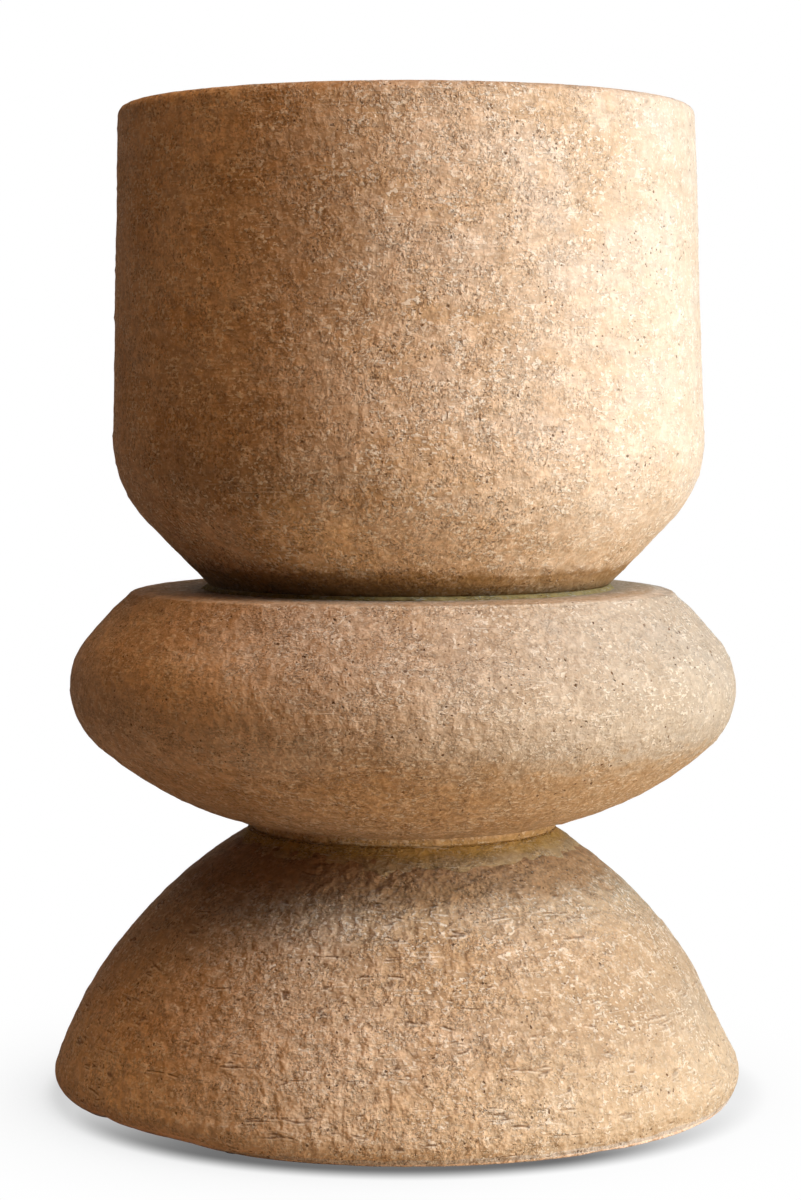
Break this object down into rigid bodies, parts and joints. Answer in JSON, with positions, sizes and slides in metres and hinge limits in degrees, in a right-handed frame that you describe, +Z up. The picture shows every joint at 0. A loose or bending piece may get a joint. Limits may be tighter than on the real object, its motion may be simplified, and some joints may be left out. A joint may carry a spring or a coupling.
{
  "type": "floor planter",
  "caption": "Tall round floor planter in stacked cast sections: a domed hollow base, a flattened disc and an open pot, with a stopped drain.",
  "frame": {"origin": "on the floor, at the middle of the base", "axes": "+Z up along the planter's axis of turning; +X and +Y lie in the floor, and the planter is alike all round"},
  "size_m": [0.5334, 0.5334, 0.76],
  "materials": {
    "earthen_body": "matte",
    "mortar": "matte",
    "drain_plastic": "matte",
    "pad_rubber": "matte",
    "plug_rubber": "matte"
  },
  "bodies": {
    "planter": {"floor_pads": "pad_rubber", "base_dome": "earthen_body", "lower_mortar_bed": "mortar", "middle_disc": "earthen_body", "upper_mortar_bed": "mortar", "pot_shell": "earthen_body", "flange_gasket": "pad_rubber", "drain_flange": "drain_plastic", "backnut_washer": "pad_rubber", "drain_backnut": "drain_plastic", "drain_pipe": "drain_plastic", "pipe_guide": "drain_plastic"},
    "plug": {"drain_plug": "plug_rubber"}
  },
  "joints": [
    {"name": "plug_lift", "type": "slide", "parent": "planter", "child": "plug", "axis": [0, 0, 1], "range_m": [0, 0.38]}
  ]
}
